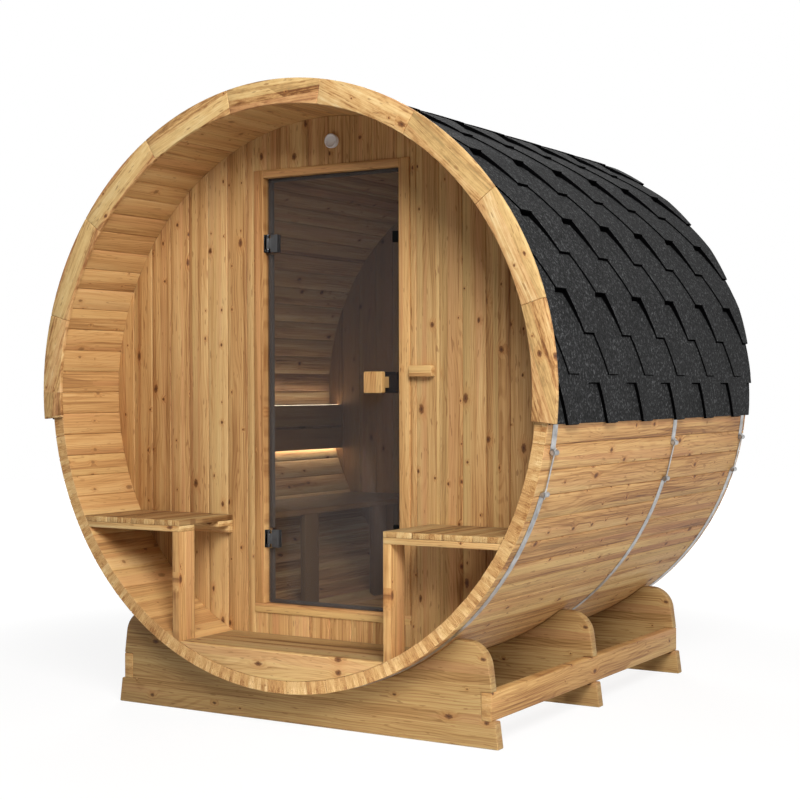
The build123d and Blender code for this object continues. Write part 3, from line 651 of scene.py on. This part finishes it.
for node in ("band_front", "band_middle", "band_back", "band_tensioners"):
    carry(node, BAND_METAL)
carry("door_glass", GLASS)
eased("door_hinge_brackets", 0.0006, "bracket_steel", BRACKET_METAL)
eased("door_hinge_plates", 0.0012, "black_metal", BLACK_METAL)
eased("door_clips", 0.001, "black_metal", BLACK_CLIPS_AND_KNOB_SHADE)


def lamp_face(face):
    """Material number: 0 for the faces that shine away from the backrest, 1 for the case."""
    outward = face.normal.z if face.calc_center_median().z > REST_MIDDLE_Z else -face.normal.z
    return 0 if outward > 0.7 else 1


eased("cabin_lights", 0.0006, "light_strip", GLOW, STRIP_CASE, pick=lamp_face, segments=1)


def lathe_y(bm, profile, x, z, segments=64):
    """Turns a profile of (radius, y) points about an axis along Y."""
    rings = []
    for radius, y in profile:
        rings.append([bm.verts.new((x + radius * math.cos(math.tau * k / segments), y,
                                    z + radius * math.sin(math.tau * k / segments)))
                      for k in range(segments)])
    for a, b in zip(rings, rings[1:]):
        for k in range(segments):
            n = (k + 1) % segments
            bm.faces.new((a[k], a[n], b[n], b[k]))
    bm.faces.new(rings[0])
    bm.faces.new(rings[-1][::-1])


# The vent's outline: radius, and distance ahead of the plane of its back
VENT_OUTLINE = (
    (0.0040, 0.0120), (0.0150, 0.0125), (0.0185, 0.0140), (0.0200, 0.0160), (0.0212, 0.0168),
    (0.0232, 0.0168), (0.0246, 0.0160), (0.0253, 0.0145), (0.0253, 0.0122), (0.0244, 0.0112),
    (0.0158, 0.0110), (0.0158, 0.0060), (0.0225, 0.0060), (0.0236, 0.0050), (0.0238, 0.0002))
VENT_X = 0.026
VENT_Z = AXIS_Z + 0.869
VENT_GAP = 0.0003           # between that plane and the wall


def vent():
    """Round vent: a dished cap with a raised rim, on a stem and a base."""
    back = WALL_Y - VENT_GAP
    bm = bmesh.new()
    lathe_y(bm, [(radius, back - ahead) for radius, ahead in VENT_OUTLINE], VENT_X, VENT_Z)
    bmesh.ops.recalc_face_normals(bm, faces=bm.faces)
    piece = new_piece("round_vent", bm, "sauna", "vent_plastic", VENT_GREY)
    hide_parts("vent")


vent()

LOOP_CENTRE = 1.0092        # from the barrel's axis to the middle of a loop
LOOP_RADIUS = 0.0080
LOOP_SHEET = 0.0012
LOOP_LOWEST = 1.0022        # least distance from the barrel's axis
LOOP_FIRST, LOOP_TURN = -12.0, 300.0        # degrees
LOOP_STEPS = 20
LOOP_PLACES = ((-18.0, 1.0), (-10.5, -1.0))     # angle on the barrel, and the way it is rolled


def band_loop(bm, front, degrees, way):
    """One band end rolled around its cross nut."""
    turn = rad(degrees)
    cx, cz = LOOP_CENTRE * math.cos(turn), LOOP_CENTRE * math.sin(turn)
    rows = []
    for n in range(LOOP_STEPS + 1):
        around = turn + math.pi + way * rad(LOOP_FIRST + LOOP_TURN * n / LOOP_STEPS)
        for r in (LOOP_RADIUS, LOOP_RADIUS + LOOP_SHEET):
            px, pz = cx + r * math.cos(around), cz + r * math.sin(around)
            lift = max(LOOP_LOWEST / math.hypot(px, pz), 1.0)
            for y in (front, front + BAND_WIDTH):
                rows.append(bm.verts.new((px * lift, y, AXIS_Z + pz * lift)))
    for n in range(LOOP_STEPS):
        a, b = rows[4 * n:4 * n + 4], rows[4 * n + 4:4 * n + 8]
        for ring in ((a[0], a[1], b[1], b[0]), (a[2], b[2], b[3], a[3]),
                     (a[0], b[0], b[2], a[2]), (a[1], a[3], b[3], b[1])):
            bm.faces.new(ring)
    bm.faces.new((rows[0], rows[2], rows[3], rows[1]))
    bm.faces.new((rows[-4], rows[-3], rows[-1], rows[-2]))


def band_loops():
    """The rolled ends of the three bands."""
    bm = bmesh.new()
    for middle in BAND_PLACES:
        for degrees, way in LOOP_PLACES:
            band_loop(bm, middle - HALF_LENGTH - BAND_WIDTH / 2, degrees, way)
    bmesh.ops.recalc_face_normals(bm, faces=bm.faces)
    new_piece("band_loops", bm, "sauna", "band_steel", BAND_METAL)


band_loops()


# Shingles

PERIOD = 2 * HALF_LENGTH / 6
SLOT_HALF = 0.041           # half a slot's width at its top
TOOTH_HALF = 0.038          # half a tooth's width at its bottom
STEP = 7.66                 # degrees from one course to the next
EAVE = -5.7                 # degrees, of the lowest teeth's lower edges
ROWS = 4                    # steps of each strip around the roof
CUT_SLANT = 0.16            # degrees, at the teeth's lower edges
COURSES = 12
ROOF_INNER = 1.0035         # radius of the roof's underside
ROOF_Y = (0.001 - HALF_LENGTH, HALF_LENGTH + 0.0142)
SINK = 0.0003               # how deep a strip is let into the course below
SHADE_LIFT = 0.0006         # how far a black painted-shadow strip stands out of it
LEAST_TOOTH = 0.003         # narrower teeth at the roof's ends are left out
GRANULES, CUT_EDGE_AND_SHADOW = 0, 1   # material numbers; the second is for the cut edges and the painted shadow strips


def course_angles(number):
    """Angle of a course's slot tops, its tooth bottoms and its upper end."""
    if number == 0:
        return 1.6, EAVE, 10.9
    top = 10.5 + STEP * (number - 1)
    bottom = 3.1 if number == 1 else top - STEP
    return top, bottom, min(top + STEP + 0.4, 90.0)


def body_radii(number):
    """Surface of a course at its slot tops and at its upper end."""
    if number == 0:
        return 1.0150, 1.0080
    return (1.0188, 1.0080) if number % 2 == 0 else (1.0125, 1.0045)


def body_surface(number, angle):
    """Radius of a course's surface at an angle, and of the starter strip for number -1."""
    if number < 0:
        return 1.0085 - 0.0004 * (angle - EAVE)
    top, _, upper = course_angles(number)
    high, low = body_radii(number)
    share = min(max((angle - top) / (upper - top), 0.0), 1.0)
    return high + (low - high) * share


def tooth_thickness(number):
    """How far a tooth's lower edge stands out, most of all at the eave."""
    return 0.0046 if number else 0.0095


def course_slots(number, wide):
    """Middles of a course's slots along the roof."""
    phase = 0.5 if number % 2 == 0 and number > 0 else 1.0
    middles = [-HALF_LENGTH + PERIOD * (phase + k) for k in range(-1, 8)]
    return [m for m in middles if m + wide > ROOF_Y[0] and m - wide < ROOF_Y[1]]


def skin(bm, rows, mirror, outer_index):
    """Closes a strip between rows of (outer left, outer right, inner left, inner right)."""
    faces = []
    for a, b in zip(rows, rows[1:]):
        faces.append(((a[0], a[1], b[1], b[0]), outer_index))
        faces.append(((a[2], b[2], b[3], a[3]), CUT_EDGE_AND_SHADOW))
        faces.append(((a[0], b[0], b[2], a[2]), CUT_EDGE_AND_SHADOW))
        faces.append(((a[1], a[3], b[3], b[1]), CUT_EDGE_AND_SHADOW))
    low, high = rows[0], rows[-1]
    faces.append(((low[0], low[2], low[3], low[1]), CUT_EDGE_AND_SHADOW))
    faces.append(((high[0], high[1], high[3], high[2]), CUT_EDGE_AND_SHADOW))
    for ring, index in faces:
        # a face that has shrunk to a line is left out
        if len({tuple(round(c, 6) for c in v.co) for v in ring}) < 3:
            continue
        face = bm.faces.new(ring[::-1] if mirror else ring)
        face.material_index = index


def on_roof(bm, y, angle, radius, mirror):
    """A point of the right half, or its mirror image on the left half."""
    turn = rad(180.0 - angle if mirror else angle)
    return bm.verts.new((radius * math.cos(turn), y, AXIS_Z + radius * math.sin(turn)))


def strip(bm, edges, angles, radii, mirror, slant=0.0, outer_index=GRANULES):
    """One solid strip: left and right edge, angle, and outer and inner radius of each row.

    slant is the angle by which the lowest row's inner side reaches below its outer side, and
    outer_index is the material of the outer face.
    """
    rows = []
    for (left, right), angle, (outer, inner) in zip(edges, angles, radii):
        lower = 0.0 if rows else slant
        rows.append([on_roof(bm, y, a, r, mirror)
                     for a, r in ((angle, outer), (angle - lower, inner)) for y in (left, right)])
    skin(bm, rows, mirror, outer_index)


def add_painted_shadow(bm, number, middle, wide, mirror):
    """Painted shadow: a black wedge on the course below, along a slot's rear side, and a black bar
    under its top.

    The thicker courses get a broader wedge, in metres, and a deeper bar, in degrees.
    """
    top, bottom, _ = course_angles(number)
    wedge, bar = (0.011, 0.46) if number % 2 == 0 and number else (0.004, 0.24)
    narrowest = 0.002

    def lay(edges, angles):
        if min(right - left for left, right in edges) >= 0.0 and edges[-1][1] > edges[-1][0]:
            below = [body_surface(number - 1, angle) for angle in angles]
            strip(bm, edges, angles, [(r + SHADE_LIFT, r - SINK) for r in below], mirror,
                  outer_index=CUT_EDGE_AND_SHADOW)

    sides, angles = [], []
    for t in (0.05, 0.35, 0.70, 1.0):
        right = min(middle + wide + (SLOT_HALF - wide) * t, ROOF_Y[1])
        sides.append((max(right - narrowest - wedge * t * t, ROOF_Y[0]), right))
        angles.append(bottom + (top - bottom) * t)
    lay(sides, angles)
    across = (max(middle - SLOT_HALF, ROOF_Y[0]), min(middle + SLOT_HALF, ROOF_Y[1]))
    lay([across] * 2, [top - bar, top])


def add_course(bm, number, mirror):
    """Body and trapezoid teeth of one shingle course."""
    top, bottom, upper = course_angles(number)
    high = body_radii(number)[0]
    low = body_surface(number - 1, bottom) + tooth_thickness(number)
    wide = PERIOD / 2 - TOOTH_HALF
    steps = [n / ROWS for n in range(ROWS + 1)]
    angles = [top + (upper - top) * t for t in steps]
    strip(bm, [ROOF_Y] * len(steps), angles,
          [(body_surface(number, angle), ROOF_INNER) for angle in angles], mirror)
    limits = [ROOF_Y[0]]
    for middle in course_slots(number, wide):
        limits += [middle - SLOT_HALF, middle + SLOT_HALF]
        add_painted_shadow(bm, number, middle, wide, mirror)
    limits.append(ROOF_Y[1])
    angles = [bottom + (top - bottom) * t for t in steps]
    radii = [(low + (high - low) * t, body_surface(number - 1, angle) - SINK)
             for t, angle in zip(steps, angles)]
    for index in range(0, len(limits), 2):
        left, right = limits[index], limits[index + 1]
        grow_left = wide - SLOT_HALF if index else 0.0
        grow_right = wide - SLOT_HALF if index + 2 < len(limits) else 0.0
        edges = []
        for t in steps:
            a = max(left + grow_left * (1 - t), ROOF_Y[0])
            b = min(right - grow_right * (1 - t), ROOF_Y[1])
            edges.append((a, b) if b > a else ((a + b) / 2,) * 2)
        if max(b - a for a, b in edges) > LEAST_TOOTH:
            strip(bm, edges, angles, radii, mirror, CUT_SLANT)


def add_starter(bm, mirror):
    """Plain strip under the eave course, seen through its slots."""
    angles = [EAVE + 0.1 + 10.0 * n / ROWS for n in range(ROWS + 1)]
    strip(bm, [ROOF_Y] * len(angles), angles,
          [(body_surface(-1, angle), ROOF_INNER) for angle in angles], mirror)


def add_ridge(bm):
    """Overlapping caps along the ridge, each of four strips that step back a little."""
    count, overlap, step = 12, 0.02, 0.0002
    outer, inner = 1.0186, 1.0150
    length = (ROOF_Y[1] - ROOF_Y[0]) / count
    for n in range(count):
        y0 = ROOF_Y[0] + n * length
        y1 = min(y0 + length + overlap, ROOF_Y[1])
        for low, high in ((86.9, 88.5), (88.5, 90.0), (90.0, 91.5), (91.5, 93.1)):
            strip(bm, [(y0, y1)] * 2, (low, high), [(outer, inner)] * 2, False)
            y0 += step


def roof_half(name, mirror, node):
    """One half of the shingled roof, in place of the CAD's half. The right half has the ridge."""
    bm = bmesh.new()
    add_starter(bm, mirror)
    for number in range(COURSES):
        add_course(bm, number, mirror)
    if not mirror:
        add_ridge(bm)
    bmesh.ops.recalc_face_normals(bm, faces=bm.faces)
    piece = new_piece(name, bm, "sauna", "shingle", SHINGLE, SHINGLE_EDGE_AND_SHADOW)
    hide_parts(node)


roof_half("shingles_right", False, "roof_shingles_right")
roof_half("shingles_left", True, "roof_shingles_left")


# Stage, light and camera

WARM_WHITE = (1.0, 0.985, 0.96)
SOFT_WHITE = (1.0, 0.985, 0.97)
LIGHT_STRIP_WHITE = (1.0, 0.95, 0.88)
FLOOR_GREY = 0.50           # what lights the object from below
FLOOR_SHINE = 1.26          # what the camera sees of the floor
FLOOR_FADE = (1.6, 5.0, 0.68, 1.0)      # near and far distance, with the shine's share at each
FLOOR_RADIUS = 14.0
FLOOR_DROP = 0.001          # the floor lies just under the object
FILL_STRENGTH = 0.05


def background_rays(tree):
    """1 for rays that should see the plain white background, and 0 for light on the object."""
    rays = tree.nodes.new("ShaderNodeLightPath")
    total = rays.outputs["Is Camera Ray"]
    for name in ("Is Glossy Ray", "Is Transmission Ray"):
        made = tree.nodes.new("ShaderNodeMath")
        made.operation = "MAXIMUM"
        tree.links.new(total, made.inputs[0])
        tree.links.new(rays.outputs[name], made.inputs[1])
        total = made.outputs[0]
    return total


def stage_floor():
    """A floor that fades to white away from the object, so that it keeps a soft shadow."""
    g = Graph("floor_white")
    base = g.node("ShaderNodeBsdfDiffuse",
                  {"Color": rgb(FLOOR_GREY, FLOOR_GREY, FLOOR_GREY)}).outputs[0]
    white = g.node("ShaderNodeEmission",
                   {"Color": rgb(1.0, 1.0, 1.0), "Strength": FLOOR_SHINE}).outputs[0]
    away = g.node("ShaderNodeVectorMath", {0: g.coords.outputs["Object"]}, operation="LENGTH")
    seen = g.math("MULTIPLY", background_rays(g.tree),
                  g.smooth(away.outputs["Value"], *FLOOR_FADE))
    mixed = g.node("ShaderNodeMixShader")
    g.put(mixed.inputs[0], seen)
    g.put(mixed.inputs[1], base)
    g.put(mixed.inputs[2], white)
    g.tree.links.new(mixed.outputs[0], g.output.inputs["Surface"])
    bm = bmesh.new()
    bmesh.ops.create_circle(bm, cap_ends=True, segments=64, radius=FLOOR_RADIUS)
    mesh = bpy.data.meshes.new("floor")
    bm.to_mesh(mesh)
    bm.free()
    mesh.materials.append(g.material)
    floor = bpy.data.objects.new("floor", mesh)
    floor.location = (0.0, 0.0, -FLOOR_DROP)
    bpy.context.scene.collection.objects.link(floor)


def area(name, place, target, size, power, colour, spread=180.0):
    """A round lamp of a size in metres, a power in watts and a spread in degrees."""
    light = bpy.data.lights.new(name, "AREA")
    light.spread = rad(spread)
    light.shape = "DISK"
    light.size = size
    light.energy = power
    light.color = colour
    lamp = bpy.data.objects.new(name, light)
    lamp.location = place
    lamp.rotation_euler = (Vector(target) - Vector(place)).to_track_quat("-Z", "Y").to_euler()
    bpy.context.scene.collection.objects.link(lamp)


def world():
    """A weak fill light, and plain white where the camera sees past the floor."""
    made = bpy.data.worlds.new("studio")
    bpy.context.scene.world = made
    made.use_nodes = True
    tree = made.node_tree
    tree.nodes.clear()
    output = tree.nodes.new("ShaderNodeOutputWorld")
    soft = tree.nodes.new("ShaderNodeBackground")
    soft.inputs["Color"].default_value = rgb(*WARM_WHITE)
    soft.inputs["Strength"].default_value = FILL_STRENGTH
    white = tree.nodes.new("ShaderNodeBackground")
    white.inputs["Color"].default_value = rgb(1.0, 1.0, 1.0)
    white.inputs["Strength"].default_value = 1.0
    mixed = tree.nodes.new("ShaderNodeMixShader")
    tree.links.new(background_rays(tree), mixed.inputs[0])
    tree.links.new(soft.outputs[0], mixed.inputs[1])
    tree.links.new(white.outputs[0], mixed.inputs[2])
    tree.links.new(mixed.outputs[0], output.inputs["Surface"])


PHOTO_WIDTH = 800.0         # pixels
FOCAL_LENGTH = 1564.6877    # pixels, fitted to the photograph
SENSOR_WIDTH = 36.0         # mm
CAMERA_PLACE = (3.0468297, -4.21805436 - HALF_LENGTH, 0.01212419 + AXIS_Z)
CAMERA_ANGLES = (31.31433843, -0.43636585, -0.16605634)     # yaw, pitch and roll in degrees


def camera():
    """Camera fitted to the photograph."""
    yaw, pitch, roll = (rad(angle) for angle in CAMERA_ANGLES)
    ahead = Vector((-math.sin(yaw) * math.cos(pitch), math.cos(yaw) * math.cos(pitch),
                    math.sin(pitch)))
    right = Vector((math.cos(yaw), math.sin(yaw), 0.0))
    up = right.cross(ahead)
    right_r = right * math.cos(roll) + up * math.sin(roll)
    up_r = up * math.cos(roll) - right * math.sin(roll)
    data = bpy.data.cameras.new("photo_camera")
    data.sensor_width = SENSOR_WIDTH
    data.sensor_fit = "HORIZONTAL"
    data.lens = FOCAL_LENGTH * SENSOR_WIDTH / PHOTO_WIDTH
    data.clip_end = 100.0
    obj = bpy.data.objects.new("photo_camera", data)
    turn = Matrix((right_r, up_r, -ahead)).transposed().to_4x4()
    obj.matrix_world = Matrix.Translation(CAMERA_PLACE) @ turn
    bpy.context.scene.collection.objects.link(obj)
    bpy.context.scene.camera = obj


stage_floor()
world()
area("key", (4.1, -5.2, 5.0), (0.0, -0.3, 1.0), size=3.8, power=670.0, colour=WARM_WHITE)
area("low", (3.6, -5.4, 0.35), (0.2, -0.7, -0.05), size=1.0, power=1.5, colour=WARM_WHITE,
     spread=14.0)
area("cabin", (0.30, -0.20, 0.75), (-0.75, 0.10, 0.45), size=0.9, power=3.6,
     colour=LIGHT_STRIP_WHITE)
area("back", (-4.2, 6.0, 4.6), (0.0, 0.4, 0.9), size=5.0, power=300.0, colour=SOFT_WHITE)
area("side", (5.6, -1.2, 0.9), (0.9, 0.2, 0.7), size=1.6, power=78.0, colour=SOFT_WHITE)
camera()
bpy.context.scene.view_settings.view_transform = "Standard"
